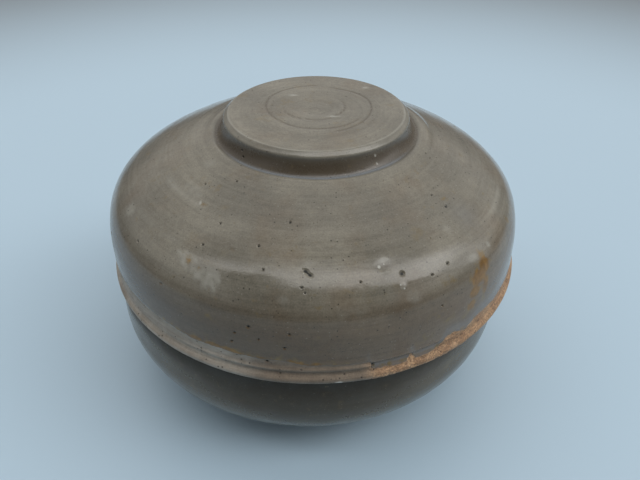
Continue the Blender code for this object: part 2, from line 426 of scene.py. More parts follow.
# Pinholes in the lid's glaze: azimuth, height, half width, half height in mm.
PINHOLES = [
    (22.5, 31.6, 0.75, 0.7), (-29.2, 38.9, 0.35, 0.35), (-6.9, 40.9, 0.4, 0.4), (-30.7, 35.2, 0.45, 0.4),
    (-14.8, 37.1, 0.45, 0.4), (-12.1, 33.7, 0.35, 0.3), (-2.3, 31.2, 0.4, 0.3), (-1.5, 30.2, 0.3, 0.3),
    (11.8, 31.6, 0.3, 0.3), (30.1, 29.5, 0.35, 0.35), (35.6, 30.3, 0.45, 0.45), (47.2, 40.6, 0.45, 0.35),
    (48.2, 38.2, 0.6, 0.6), (-50.8, 29.5, 0.4, 0.35), (-14.2, 20.2, 0.55, 0.5), (-17.5, 17.3, 0.4, 0.35),
    (-18.4, 13.7, 0.4, 0.35), (-12.0, 16.4, 0.3, 0.3), (-10.6, 7.8, 0.6, 0.5), (-6.3, 14.1, 0.45, 0.35),
    (-5.1, 19.2, 0.35, 0.35), (31.0, 20.5, 0.3, 0.3), (-38.0, 24.0, 0.35, 0.3),
    (-68.0, 21.0, 0.5, 0.4), (-95.0, 34.0, 0.5, 0.5), (-128.0, 26.0, 0.4, 0.4), (-152.0, 40.0, 0.5, 0.4),
    (84.0, 24.0, 0.5, 0.4), (112.0, 36.0, 0.45, 0.45), (141.0, 18.0, 0.5, 0.4), (168.0, 30.0, 0.5, 0.5),
    (13.4, 5.5, 0.6, 0.55), (-45.7, 42.9, 0.35, 0.3), (-34.5, 45.0, 0.35, 0.3), (65.6, 45.4, 0.35, 0.3),
    (65.4, 44.3, 0.35, 0.3), (65.7, 40.2, 0.35, 0.3), (-46.7, 49.3, 0.35, 0.35), (-44.2, 47.8, 0.35, 0.3),
]

# Rings in the disc's top: bearing from the front, distance in mm from the rings' centre.
OUTER_RING = [(-180, 18.2), (-119, 18.2), (-82, 17.0), (-54, 16.5), (-21, 16.9), (23, 17.4), (38, 17.2)]
STRAY_RING = [(14, 20.0), (25, 20.0), (50, 19.3), (75, 18.9), (110, 19.0), (131, 18.3), (150, 17.3)]
INNER_RING = [(-63, 11.3), (-38, 10.8), (-15, 10.3), (9, 10.2), (37, 9.7), (63, 9.6), (110, 10.1)]

# Low bumps on the disc's top, lightened as painted highlight: right and back of its middle, half width, half
# depth, mm.
DISC_BUMPS_AND_GLINTS = [(5.6, -5.3, 2.4, 0.7), (-8.3, 12.0, 1.8, 0.7), (17.8, 18.6, 1.2, 0.8)]

# Azimuth and height of the single marks in the glaze.
CHIP = (-0.9, 33.7)
CHIP_TILT = -25  # degrees
CRATER = (18.6, 33.4)
BLISTER = (21.8, 29.3)

# The chip's lobes: right and up of its middle, half width, half height, mm.
CHIP_LOBES = [(-0.6, 0.25, 0.8, 0.5), (0.75, -0.35, 0.65, 0.45), (0.1, -0.05, 0.6, 0.28)]

# Smudges and a scratch, and painted shade in the crater's pit beside it: azimuth, height, half width, half
# height in mm, tilt, softness, strength.
SMUDGES_AND_SHADE = [
    (19.6, 22.6, 3.6, 3.6, 0, 0.8, 0.30), (-30.6, 27.0, 4.0, 2.5, 0, 0.8, 0.20),
    (CRATER[0] + 0.6, CRATER[1] + 0.1, 0.95, 0.35, 0, 0.8, 0.60), (-22.1, 36.0, 1.5, 0.4, -20, 0.7, 0.60),
    (52.0, 34.0, 4.5, 7.0, 0, 0.8, 0.14), (25.8, 39.6, 4.0, 6.0, 0, 0.8, 0.10),
]
DISC_SMUDGE = (21.2, 20.4, 2.2, 1.1)  # right and back of the disc's middle, half width, half depth

# The bare band: azimuths over which its broken stretch starts and ends, heights of its ridge and
# groove, and the height and depth of each line scored in it on the left.
BROKEN_FROM = (12.7, 13.3)
BROKEN_TO = (33.0, 30.0)
BAND_RIDGE = 5.5
BAND_GROOVE = 3.9
SCORED_LINES = [(3.3, 1.0), (6.8, 0.8), (8.0, 0.7)]

# How far bare clay lies below the glaze, mm
LID_GLAZE_DEPTH = 0.22
BOWL_GLAZE_DEPTH = 0.2


def lid_surface():
    # The mesh is finer near these: azimuth, height, reach in mm, how many times.
    fine = [(azimuth, height, 1.6, 2) for azimuth, height, wide, tall in PINHOLES]
    fine += [(*CHIP, 3.2, 2), (*CRATER, 3.4, 2), (*BLISTER, 2.4, 2)]
    fine += [(azimuth, 4.2, 3.9, 1) for azimuth in range(13, 38, 3)]
    lid = Turned("lid_shell", lid_runs(), fine)

    edge = np.interp(lid.azimuth, *zip(*GLAZE_EDGE)) + 0.35 * lid.noise(4.0, 1) + 0.2 * lid.noise(1.2, 2)
    bare_inside = 3.5 + 0.5 * lid.noise(6.0, 3) - lid.height
    bare = np.where(lid.outside, edge - lid.height, bare_inside)
    rings = disc_rings(lid)

    relief = 0.12 * lid.noise(28.0, 4) + 0.03 * lid.noise(9.0, 5)
    relief += turning_lines(lid)
    relief += rim_relief(lid, edge)
    relief += disc_relief(lid, rings)
    relief += LID_GLAZE_DEPTH * smooth(0.5, -0.3, bare) + 0.12 * bell(bare + 0.5, 0.5)
    relief -= LID_GLAZE_DEPTH

    pit = lid_pits(lid)
    relief -= 0.35 * smooth(0.0, 1.2, pit)
    relief -= 0.22 * bell(blot_distance(lid, *CRATER, 2.3, 1.9), 0.75)
    relief += 0.12 * bell(blot_distance(lid, *BLISTER, 1.0, 0.9), 0.6)

    lid.store(bare=bare, pit=pit, pale=lid_pale(lid), rust=lid_rust(lid, edge),
              pool=lid_pool(lid, edge), thin=lid_thin(lid, rings), warm=lid_warm(lid))
    lid.place(relief, lid_sideways(lid), PARTING)
    return lid.object


def lid_pits(lid):
    """Pinholes and the black chip, 1 at their edges and more inside."""
    pit = np.zeros_like(lid.height)
    for azimuth, height, wide, tall in PINHOLES:
        pit = np.maximum(pit, blot(lid, azimuth, height, 0.8 * wide, 0.8 * tall))
    for right, up, wide, tall in CHIP_LOBES:
        azimuth = CHIP[0] + math.degrees(right / WALL_RADIUS)
        pit = np.maximum(pit, blot(lid, azimuth, CHIP[1] + up, wide, tall, CHIP_TILT))
    return pit


def lid_thin(lid, rings):
    """Darker glaze, 0 to 1: painted shade on the disc's wall, in the groove round the disc away from the
    front, low on the left of the dome and in the crater's pit; darker cut rings and disc middle, smudges and
    a scratch.
    """
    # Painted shade: the disc's wall is darkened, most just under its worn edge.
    wall = 0.75 * smooth(LID_TOP - 1.2, LID_TOP - 2.0, lid.height)
    wall += 0.25 * smooth(LID_TOP - 2.0, LID_TOP - 4.2, lid.height)
    wall *= smooth(GROOVE[1] - 0.2, GROOVE[1] + 0.2, lid.height)
    wall *= (lid.radius < GROOVE[0] + 0.5) * lid.outside
    thin = np.maximum(0.9 * wall, 0.75 * rings)

    for azimuth, height, wide, tall, tilt, softness, strength in SMUDGES_AND_SHADE:
        away = blot_distance(lid, azimuth, height, wide, tall, tilt)
        thin = np.maximum(thin, strength * bell(away, softness))
    on_top, radius = on_disc(lid)[:2]
    thin = np.maximum(thin, 0.10 * on_top * bell(radius, 9.0))
    smudge = 0.45 * bell(disc_distance(lid, *DISC_SMUDGE), 0.7) * (lid.height > LID_TOP - 1.0) * lid.outside
    thin = np.maximum(thin, smudge)

    # Painted shade: the lower left of the dome is darkened.
    lower_left = 0.26 * smooth(31.0, 17.0, lid.height) * smooth(18.0, -4.0, lid.azimuth) * lid.outside
    thin = np.maximum(thin, lower_left * smooth(-85.0, -55.0, lid.azimuth))
    # Painted shade in the groove round the disc, away from the front.
    groove = 0.75 * bell(lid.radius - GROOVE[0], 0.55) * smooth(38.0, 70.0, np.abs(lid.azimuth))
    return np.maximum(thin, groove * near_disc(lid))


def lid_warm(lid):
    """How warm the bare clay is: 0 is grey, 0.5 is brown and 1 is orange."""
    warm = 0.5 * smooth(-22.0, -6.0, lid.azimuth) + 0.5 * smooth(9.0, 17.0, lid.azimuth)
    lower_edge = 0.45 * smooth(1.3, 0.4, lid.height) * lid.outside
    return np.maximum(warm * smooth(170.0, 110.0, lid.azimuth), lower_edge)


def near_disc(lid):
    """True on the disc and at its foot."""
    return (lid.height > GROOVE[1] - 1.0) * lid.outside


def lid_sideways(lid):
    """How far the hand-turned lid leans off its axis: the dome to one side, the disc back to the other."""
    dome = DOME_LEAN * np.clip(lid.height / 37.5, 0.0, 1.0)
    disc = smooth(44.0, 46.5, lid.height) * lid.outside
    return dome * (1 - disc) + DISC_LEAN * disc


def blot_distance(piece, azimuth, height, wide, tall, tilt=0.0):
    """Distance from a mark on the outside, 1 at the edge of an ellipse wide by tall mm."""
    right = np.radians((piece.azimuth - azimuth + 180) % 360 - 180) * piece.radius
    down = piece.along - piece.along_at(height)
    turn = math.radians(tilt)
    u = right * math.cos(turn) - down * math.sin(turn)
    v = right * math.sin(turn) + down * math.cos(turn)
    return np.hypot(u / wide, v / tall)


def blot(piece, azimuth, height, wide, tall, tilt=0.0):
    """1.5 at a mark's middle, 0.9 at its edge and 0 well outside it."""
    return np.clip(1.9 - blot_distance(piece, azimuth, height, wide, tall, tilt), 0.0, 1.5)


def turning_lines(piece):
    """Fine lines left by the turning tool, in mm."""
    twist = np.radians(piece.azimuth)
    lines = 0.009 * np.sin(piece.along / 0.42 + twist) * (0.5 + 0.5 * piece.noise(14.0, 6))
    lines += 0.018 * np.sin(piece.along / 0.95 - twist + 1.3) * (0.5 + 0.5 * piece.noise(22.0, 7))
    return lines


def rim_relief(lid, edge):
    """The ridge and groove in the bare band, which fade on the left and are broken off on the right."""
    azimuth, height = lid.azimuth, lid.height
    broken = smooth(*BROKEN_FROM, azimuth) * smooth(*BROKEN_TO, azimuth)
    ridge = smooth(-42.0, -14.0, azimuth) * smooth(*reversed(BROKEN_FROM), azimuth)
    ridge = (0.35 + 0.65 * ridge) * (1 - broken)
    relief = 0.62 * bell(height - BAND_RIDGE, 0.55) * ridge
    relief -= 0.25 * bell(height - BAND_GROOVE, 0.5) * ridge
    relief -= 0.55 * bell(height - 5.2, 0.9) * broken
    relief += 0.25 * bell(height - 7.1, 0.3) * broken
    grit = lid.noise(0.9, 8) + 1.1 * lid.noise(0.5, 9)
    rough = smooth(11.0, 14.0, azimuth) * smooth(50.0, 33.0, azimuth) * smooth(edge + 0.2, edge - 0.6, height)
    relief += 0.18 * grit * rough
    relief += 0.45 * bell(blot_distance(lid, 23.0, 4.4, 0.7, 1.5), 0.7)
    relief += 0.03 * lid.noise(1.5, 10) * smooth(edge, edge - 1.0, height)
    scored = sum(depth * bell(height - line, 0.2) for line, depth in SCORED_LINES)
    relief -= 0.10 * scored * smooth(-10.0, -26.0, azimuth) * smooth(edge, edge - 0.6, height)
    return relief * lid.outside


def on_disc(lid):
    """Share of each point in the disc's flat top, and its distance and bearing from the rings' centre."""
    on_top = smooth(LID_TOP - 0.5, LID_TOP - 0.1, lid.height) * lid.outside
    right, back = lid.points[:, 0], lid.points[:, 1] - RINGS_BACK
    return on_top, np.hypot(right, back), np.degrees(np.arctan2(right, -back))


def disc_distance(lid, right, back, wide, deep):
    """Distance from a mark on the disc's top, 1 at the edge of an ellipse wide by deep mm."""
    return np.hypot((lid.points[:, 0] - right) / wide, (lid.points[:, 1] - back) / deep)


def disc_rings(lid):
    """The rings cut in the disc's top, 0 to 1."""
    on_top, radius, turn = on_disc(lid)
    rings = bell(radius - np.interp(turn, *zip(*OUTER_RING)), 0.25) * smooth(75.0, 40.0, turn)
    stray = bell(radius - np.interp(turn, *zip(*STRAY_RING)), 0.25) * smooth(8.0, 25.0, turn)
    inner = bell(radius - np.interp(turn, *zip(*INNER_RING)), 0.25) * smooth(-120.0, -45.0, turn)
    rings = np.maximum(rings, stray * smooth(175.0, 150.0, turn))
    rings = np.maximum(rings, 0.95 * inner * smooth(140.0, 105.0, turn))
    return np.maximum(rings, 0.35 * bell(radius - 5.2, 0.35) * smooth(-120.0, -40.0, turn)) * on_top


def disc_relief(lid, rings):
    """The shallow dish in the disc's top, its cut rings, the slip rolled up beside them, and the
    fine ridge along its worn edge."""
    on_top, radius, turn = on_disc(lid)
    dish = -0.40 * bell(radius, 10.0) - 0.14 * bell(radius - 4.0, 2.5)
    rolled = 0.18 * bell(radius - 8.8, 0.6) * smooth(20.0, 60.0, turn) * smooth(120.0, 80.0, turn)
    for bit in DISC_BUMPS_AND_GLINTS:
        rolled += 0.15 * bell(disc_distance(lid, *bit), 0.7)
    worn = -0.04 - 0.18 * smooth(-14.0, 6.0, lid.azimuth) * smooth(70.0, 40.0, lid.azimuth)
    worn = worn * np.clip(past_ridge(lid) / DISC_EDGE[0], 0.0, 1.0) * (lid.height > GROOVE[1]) * lid.outside
    return (dish - 0.11 * rings + rolled) * on_top + worn + 0.05 * edge_ridge(lid)


def past_ridge(lid):
    """Distance in mm outward past the ridge inside the disc's worn edge, which is widest in front."""
    return np.hypot(lid.points[:, 0], lid.points[:, 1] - RIDGE_BACK) - (DISC_RADIUS - DISC_EDGE[0])


def edge_ridge(lid):
    """The fine ridge just inside the disc's worn edge, 0 to 1."""
    return bell(past_ridge(lid), 0.2) * (lid.height > LID_TOP - 0.8) * lid.outside


# Milky haze in the lid's glaze, and painted highlight: the halos round the chip and the crater are painted,
# and the patches at the left end of the shine on the shoulder partly so: azimuth, height, half width, half
# height in mm, strength.
HAZE_AND_GLINTS = [
    (-0.7, 34.9, 1.8, 0.8, 0.22), (19.0, 34.5, 1.9, 0.7, 0.36), (18.4, 32.5, 1.9, 0.3, 0.25),
    (21.8, 29.3, 1.1, 1.0, 0.28), (-25.4, 30.2, 4.4, 2.8, 0.42), (-33.0, 32.4, 3.8, 1.2, 0.34),
    (-30.5, 31.4, 3.6, 1.9, 0.36), (-48.0, 41.2, 4.2, 2.0, 0.20), (-62.0, 32.4, 2.6, 1.8, 0.26),
    (-55.2, 45.3, 2.4, 1.6, 0.14), (-6.5, 28.5, 1.6, 1.3, 0.18), (8.0, 25.6, 4.5, 1.4, 0.11),
    (24.2, 26.2, 2.6, 2.0, 0.13), (51.2, 28.3, 0.7, 0.9, 0.6), (41.6, 35.3, 2.0, 1.4, 0.18),
    (43.7, 28.5, 2.6, 1.2, 0.22),
]

# Light rings left by the turning tool: first and last azimuth, height, strength.
RING_LINES = [(-63, -39, 40.1, 0.34), (-61, -38, 33.9, 0.16), (54, 77, 32.4, 0.26), (-150, -95, 27.0, 0.2)]

# White grains in the glaze, chips in the rim, and painted glints in the crater and beside the chip: azimuth,
# height, half size in mm.
GRAINS_AND_GLINTS = [
    (17.3, 33.6, 0.42), (21.2, 29.6, 0.22), (21.9, 28.7, 0.25), (18.8, 33.9, 0.16), (-1.9, 33.6, 0.16),
    (4.9, 1.2, 0.34), (5.7, 1.1, 0.48), (6.9, 1.3, 0.32), (-40.6, 40.5, 0.32), (-39.6, 40.2, 0.25),
    (34.8, 49.9, 0.34), (34.6, 47.6, 0.30),
]


def lid_pale(lid):
    """Hazy patches, white grains, painted glints and highlights, and the light lines where glaze thins over
    the disc's edge and the lip.
    """
    cloudy = 0.85 + 0.8 * lid.noise(1.6, 11) + 0.5 * lid.noise(5.0, 14)
    pale = np.zeros_like(lid.height)
    ragged = 0.5 * lid.noise(1.5, 15) + 0.35 * lid.noise(4.0, 16)
    # Haze, with painted highlight round the chip, the crater and the left end of the shine.
    for azimuth, height, wide, tall, strength in HAZE_AND_GLINTS:
        away = blot_distance(lid, azimuth, height, wide, tall) + ragged
        pale = np.maximum(pale, strength * smooth(1.25, 0.7, away))
    pale *= cloudy
    for azimuth, height, size in GRAINS_AND_GLINTS:
        pale = np.maximum(pale, 1.3 * smooth(1.3, 0.7, blot_distance(lid, azimuth, height, size, size)))
    uneven = 0.7 + 0.5 * lid.noise(7.0, 13)
    for first, last, height, strength in RING_LINES:
        shown = smooth(first - 3.0, first + 3.0, lid.azimuth) * smooth(last + 2.0, last - 2.0, lid.azimuth)
        line = bell(lid.height - height, 0.3) * shown * lid.outside
        pale = np.maximum(pale, strength * uneven * line)
    bevel = smooth(0.0, 0.5, past_ridge(lid)) * (lid.height > LID_TOP - DISC_EDGE[1] - 0.6) * lid.outside
    pale = np.maximum(pale, 0.14 * uneven * bevel)
    pale = np.maximum(pale, 0.5 * uneven * edge_ridge(lid))
    pale = np.maximum(pale, 0.32 * uneven * bell(lid.radius - LIP[0] + 0.5, 0.3) * near_disc(lid))
    on_top = on_disc(lid)[0]
    # Painted highlight on the bumps in the disc's top.
    for bit in DISC_BUMPS_AND_GLINTS:
        pale = np.maximum(pale, 0.75 * bell(disc_distance(lid, *bit), 0.6) * on_top)
    return np.clip(pale, 0.0, 1.0)


# Iron stains on the lid: azimuth, height, half width, half height in mm, strength.
STAINS = [
    (-32.3, 32.0, 1.4, 1.1, 0.65), (-27.4, 32.9, 1.4, 0.8, 0.5), (-28.6, 31.3, 1.2, 0.8, 0.65),
    (46.8, 25.0, 2.6, 2.7, 1.2), (43.6, 22.8, 3.1, 2.6, 1.2), (46.4, 18.4, 1.8, 4.6, 0.95),
    (42.0, 18.7, 2.4, 2.2, 1.2), (41.0, 14.4, 2.2, 2.1, 1.0), (46.8, 28.2, 2.0, 1.6, 0.55),
    (-39.4, 40.3, 1.2, 0.8, 0.7), (-39.9, 43.3, 2.4, 1.6, 0.3), (65.5, 27.6, 1.0, 2.0, 0.6),
    (29.0, 17.5, 2.4, 1.4, 0.4), (33.5, 14.5, 2.2, 1.3, 0.45), (27.0, 10.4, 2.4, 1.3, 0.4),
    (38.0, 11.5, 2.2, 1.4, 0.45), (34.0, 26.6, 2.8, 1.6, 0.45), (21.8, 29.4, 0.6, 0.5, 0.5),
    (-2.0, 7.6, 3.2, 0.9, 0.85), (-24.0, 21.0, 1.8, 1.4, 0.45), (49.6, 39.4, 1.2, 1.0, 0.55),
    (-57.0, 36.0, 1.6, 1.2, 0.55), (-120.0, 30.0, 2.0, 2.6, 0.8), (105.0, 22.0, 1.6, 2.2, 0.8),
    (160.0, 15.0, 2.4, 1.6, 0.7),
]


def lid_rust(lid, edge):
    """Iron stains: a flash along the glaze's edge, small spots, and a run of patches on the right."""
    flash = bell(lid.height - edge - 0.45, 0.5) + 0.35 * bell(lid.height - edge - 1.0, 1.6)
    flash *= 0.95 * bell(lid.azimuth + 25.0, 7.0) + 0.3 * bell(lid.azimuth + 2.0, 6.0) + 0.3
    rust = flash * (0.8 + 0.7 * lid.noise(2.5, 12)) * lid.outside
    for azimuth, height, wide, tall, strength in STAINS:
        rust = np.maximum(rust, strength * bell(blot_distance(lid, azimuth, height, wide, tall), 0.8))
    return np.clip(rust, 0.0, 1.2)


def lid_pool(lid, edge):
    """Blue-grey: painted highlight along the bottom of the groove round the disc in front, and glaze run
    thick above the rim on the right, partly painted reflection.
    """
    # Painted highlight: a blue-grey line in the groove's bottom, in front only.
    groove = bell(lid.radius - GROOVE[0], 0.3) + 0.6 * bell(lid.radius - GROOVE[0] - 0.75, 0.2)
    groove *= 1.3 * near_disc(lid) * smooth(66.0, 36.0, np.abs(lid.azimuth))
    # Blue-grey glaze above the bare band on the right, partly painted reflection.
    rim = smooth(11.0, 14.0, lid.azimuth) * smooth(95.0, 60.0, lid.azimuth)
    rim *= smooth(edge + 5.0, edge + 1.0, lid.height) * lid.outside
    patch = 0.25 * bell(blot_distance(lid, 51.3, 35.5, 4.0, 4.5), 0.8)
    return np.clip(np.maximum(np.maximum(groove, 0.5 * rim), patch), 0.0, 1.0)


# ---- the bowl's surface

def bowl_surface():
    bowl = Turned("bowl_shell", bowl_runs(), [])
    height = bowl.height
    relief = 0.12 * bowl.noise(28.0, 21) + 0.03 * bowl.noise(9.0, 22) + turning_lines(bowl)

    on_collar = bowl.along < bowl.outline.along[np.argmax(bowl.outline.radius > COLLAR_RADII[1] + 0.5)]
    glaze_end = np.where(on_collar, SEAT_HEIGHT - 2.0 + 0.5 * bowl.noise(5.0, 23), SEAT_HEIGHT - 0.9)
    foot_edge = 6.0 + 0.6 * bowl.noise(8.0, 24)
    near_foot = bowl.outside & (bowl.radius < FOOT_TOP_RADIUS + 4)
    under_foot = bowl.along > bowl.outline.along[outside_of(bowl.outline)[1] - 1]
    bare = np.maximum(height - glaze_end, np.where(near_foot | under_foot, foot_edge - height, -10.0))
    relief += BOWL_GLAZE_DEPTH * smooth(0.5, -0.3, bare) + 0.1 * bell(bare + 0.5, 0.5)
    relief -= BOWL_GLAZE_DEPTH
    # Painted shadow of the lid's rim: the glaze is darkened just below the seat all round, and much further
    # down in front.
    reach = 6.0 + 24.0 * bell(bowl.azimuth, 20.0)
    thin = 0.95 * smooth(SEAT_HEIGHT - 1.5 - reach, SEAT_HEIGHT - 1.5, height)
    none = np.zeros_like(height)
    bowl.store(bare=bare, thin=thin * bowl.outside, pit=none, pale=none, rust=none, pool=none, warm=none)
    wall = bowl.outside * smooth(SEAT_HEIGHT + 0.5, SEAT_HEIGHT - 2.0, height) * smooth(6.0, 20.0, height)
    bowl.place(relief, BOWL_LEAN * wall, 0.0)
    return bowl.object


# ---- materials

class Nodes:
    """Short names for making and linking shader nodes."""

    def __init__(self, tree):
        self.tree = tree

    def new(self, kind, **settings):
        node = self.tree.nodes.new(kind)
        for name, value in settings.items():
            setattr(node, name, value)
        return node

    def feed(self, socket, value):
        if isinstance(value, bpy.types.NodeSocket):
            self.tree.links.new(value, socket)
        elif isinstance(value, tuple) and len(value) == 3 and socket.type == "RGBA":
            socket.default_value = (*value, 1.0)
        else:
            socket.default_value = value

    def fill(self, node, names, values):
        """Feeds the values to the node's inputs of those names or numbers."""
        for name, value in zip(names, values):
            self.feed(node.inputs[name], value)

    def math(self, operation, a, b=0.0, c=0.0):
        node = self.new("ShaderNodeMath", operation=operation)
        self.fill(node, (0, 1, 2), (a, b, c))
        return node.outputs[0]

    def plus(self, a, b):
        return self.math("ADD", a, b)

    def minus(self, a, b):
        return self.math("SUBTRACT", a, b)

    def times(self, a, b):
        return self.math("MULTIPLY", a, b)

    def times_plus(self, a, b, c):
        return self.math("MULTIPLY_ADD", a, b, c)

    def attribute(self, name):
        return self.new("ShaderNodeAttribute", attribute_name=name).outputs["Fac"]

    def noise(self, vector, scale, detail=2.0, roughness=0.5, distortion=0.0):
        node = self.new("ShaderNodeTexNoise")
        names = ("Vector", "Scale", "Detail", "Roughness", "Distortion")
        self.fill(node, names, (vector, scale, detail, roughness, distortion))
        return node.outputs["Fac"]

    def cells(self, vector, scale):
        """Distance to the nearest of scattered points, and a random number for that point."""
        node = self.new("ShaderNodeTexVoronoi")
        self.fill(node, ("Vector", "Scale"), (vector, scale))
        separate = self.new("ShaderNodeSeparateColor")
        self.feed(separate.inputs[0], node.outputs["Color"])
        return node.outputs["Distance"], separate.outputs[0]

    def ramp(self, value, low, high, to_low=0.0, to_high=1.0):
        """Smooth step of value from low to high."""
        node = self.new("ShaderNodeMapRange", interpolation_type="SMOOTHSTEP")
        names = ("Value", "From Min", "From Max", "To Min", "To Max")
        self.fill(node, names, (value, low, high, to_low, to_high))
        return node.outputs[0]

    def mix(self, share, a, b, blend="MIX"):
        node = self.new("ShaderNodeMix", data_type="RGBA", blend_type=blend)
        self.fill(node, ("Factor", 6, 7), (share, a, b))
        return node.outputs[2]


MIDDLE = (0.3, 0.7)  # most of a noise lies between these

# The glazes: colours, roughness and what the darker zone, partly painted shade, adds to it, strength of the
# white specks, and the heights over which the glaze turns brown.
LID_GLAZE = dict(
    light=(0.218, 0.202, 0.162), dark=(0.161, 0.149, 0.120), brown=(0.142, 0.099, 0.060),
    thin=(0.070, 0.054, 0.036), rough=(0.075, 0.195), thin_rough=0.15, specks=0.22,
    brown_from=(PARTING + 31) * MM, brown_to=(PARTING + 17) * MM,
)
BOWL_GLAZE = dict(
    light=(0.104, 0.098, 0.070), dark=(0.074, 0.071, 0.052), brown=(0.090, 0.068, 0.038),
    thin=(0.022, 0.014, 0.004), rough=(0.12, 0.24), thin_rough=0.45, specks=0.12,
    brown_from=15 * MM, brown_to=40 * MM,
)
PIT_COLOR = (0.010, 0.011, 0.009)
# Blue-grey of pooled glaze and of painted highlight.
POOL_AND_HIGHLIGHT_COLOR = (0.19, 0.21, 0.23)
# Colour of milky haze and of painted glints and highlights.
HAZE_AND_GLINT_COLOR = (0.40, 0.40, 0.36)
WORN_CLAY_COLOR = (0.62, 0.58, 0.52)
PORE_COLOR = (0.035, 0.025, 0.018)
WHITE_SPECK_COLOR = (0.42, 0.40, 0.35)
OCHRE = (0.180, 0.130, 0.055)
ORANGE_RUST = ((0.145, 0.072, 0.010), (0.230, 0.122, 0.022))
GREY_CLAY = ((0.288, 0.250, 0.205), (0.385, 0.344, 0.292))
BROWN_CLAY = ((0.168, 0.129, 0.094), (0.222, 0.176, 0.131))
ORANGE_CLAY = ((0.300, 0.175, 0.095), (0.410, 0.262, 0.150))

# Iron specks: how many to the metre, size, share left out, strength, colour.
IRON_SPECKS = [
    (620.0, 0.20, 0.80, 0.75, (0.030, 0.027, 0.022)),
    (1250.0, 0.26, 0.86, 0.55, (0.040, 0.036, 0.030)),
]

# How deep the skin's unevenness is, in metres.
ORANGE_PEEL = 0.00003
FINE_PEEL = 0.000011
STREAK_DEPTH = 0.000008
CLAY_GRAIN = 0.00018
PORE_DEPTH = 0.00012


def stoneware(name, glaze):
    """Glazed stoneware. Its zones come from the mesh: bare clay, rust, pooled and darker glaze, hazy glaze,
    pits, and the painted shade, highlights and glints among them.
    """
    material = bpy.data.materials.new(name)
    material.use_nodes = True
    net = Nodes(material.node_tree)
    place = net.new("ShaderNodeTexCoord").outputs["Object"]
    streaks, wide_streaks, height = turning_streaks(net, place)
    color = glaze_color(net, place, streaks, wide_streaks, height, glaze)
    color = glaze_marks(net, place, color, glaze)
    color = rust_over(net, place, color)
    clay, pores = clay_color(net, place, streaks)

    ragged = net.times(net.minus(net.noise(place, 900.0, detail=3.0), 0.5), 0.7)
    is_bare = net.ramp(net.plus(net.attribute("bare"), ragged), -0.15, 0.25)
    color = net.mix(is_bare, color, clay)
    pit = net.ramp(net.attribute("pit"), 0.8, 1.35)
    color = net.mix(pit, color, PIT_COLOR)

    rough = net.ramp(net.noise(place, 160.0, detail=4.0), *MIDDLE, *glaze["rough"])
    rough = net.plus(rough, net.ramp(net.noise(place, 1500.0), *MIDDLE, -0.03, 0.03))
    # The hazy zone holds painted glints too, and the darker zone painted shade.
    haze_and_glint, thin = net.attribute("pale"), net.attribute("thin")
    for zone, more in ((haze_and_glint, 0.12), (thin, glaze["thin_rough"]), (is_bare, 0.42), (pit, 0.5)):
        rough = net.times_plus(zone, more, rough)

    shader = material.node_tree.nodes["Principled BSDF"]
    normal = skin_normal(net, place, streaks, is_bare, pores)
    net.fill(shader, ("Base Color", "Roughness", "Normal"), (color, rough, normal))
    return material


def turning_streaks(net, place):
    """Fine and wide streaks that run round the piece, 0 to 1, and the height."""
    split = net.new("ShaderNodeSeparateXYZ")
    net.feed(split.inputs[0], place)
    x, y, height = split.outputs
    radius = net.math("SQRT", net.plus(net.math("POWER", x, 2.0), net.math("POWER", y, 2.0)))
    turned = net.new("ShaderNodeCombineXYZ")
    stretched = (net.times(x, STREAK_LENGTH), net.times(y, STREAK_LENGTH), net.minus(radius, height))
    net.fill(turned, (0, 1, 2), stretched)
    streaks = net.noise(turned.outputs[0], 900.0, detail=3.0, roughness=0.6)
    return streaks, net.noise(turned.outputs[0], 220.0), height


def glaze_color(net, place, streaks, wide_streaks, height, glaze):
    """The plain glaze: cloudy, browner towards the parting, streaked and grainy."""
    clouds = net.noise(place, 38.0, detail=4.0, roughness=0.55)
    browns = net.noise(place, 70.0, detail=3.0, distortion=0.4)
    color = net.mix(net.ramp(clouds, 0.35, 0.65), glaze["dark"], glaze["light"])
    lower = net.ramp(height, glaze["brown_from"], glaze["brown_to"], 0.0, 0.85)
    color = net.mix(net.plus(net.ramp(browns, 0.45, 0.8, 0.0, 0.4), lower), color, glaze["brown"])
    shade = net.plus(net.ramp(streaks, *MIDDLE, 0.92, 1.06), net.ramp(wide_streaks, *MIDDLE, -0.06, 0.05))
    shade = net.plus(shade, net.ramp(net.noise(place, 2200.0), *MIDDLE, -0.09, 0.09))
    shade = net.plus(shade, net.ramp(net.noise(place, 550.0, detail=3.0), *MIDDLE, -0.06, 0.05))
    return net.mix(1.0, color, grey(net, shade), "MULTIPLY")


def glaze_marks(net, place, color, glaze):
    """The glaze with its darker, blue-grey and hazy zones, which hold painted shade, highlight and glints,
    and its specks.
    """
    # Darker zone: darker glaze and painted shade.
    color = net.mix(net.attribute("thin"), color, glaze["thin"])
    # Blue-grey: pooled glaze and painted highlight.
    color = net.mix(net.times(net.attribute("pool"), 0.8), color, POOL_AND_HIGHLIGHT_COLOR)
    # Hazy zone: milky haze and painted glints and highlights.
    color = net.mix(net.attribute("pale"), color, HAZE_AND_GLINT_COLOR)
    white_specks = (950.0, 0.24, 0.80, glaze["specks"], WHITE_SPECK_COLOR)
    for scale, size, share, strength, tint in (white_specks, *IRON_SPECKS):
        color = net.mix(dots(net, place, scale, size, share, strength), color, tint)
    return color


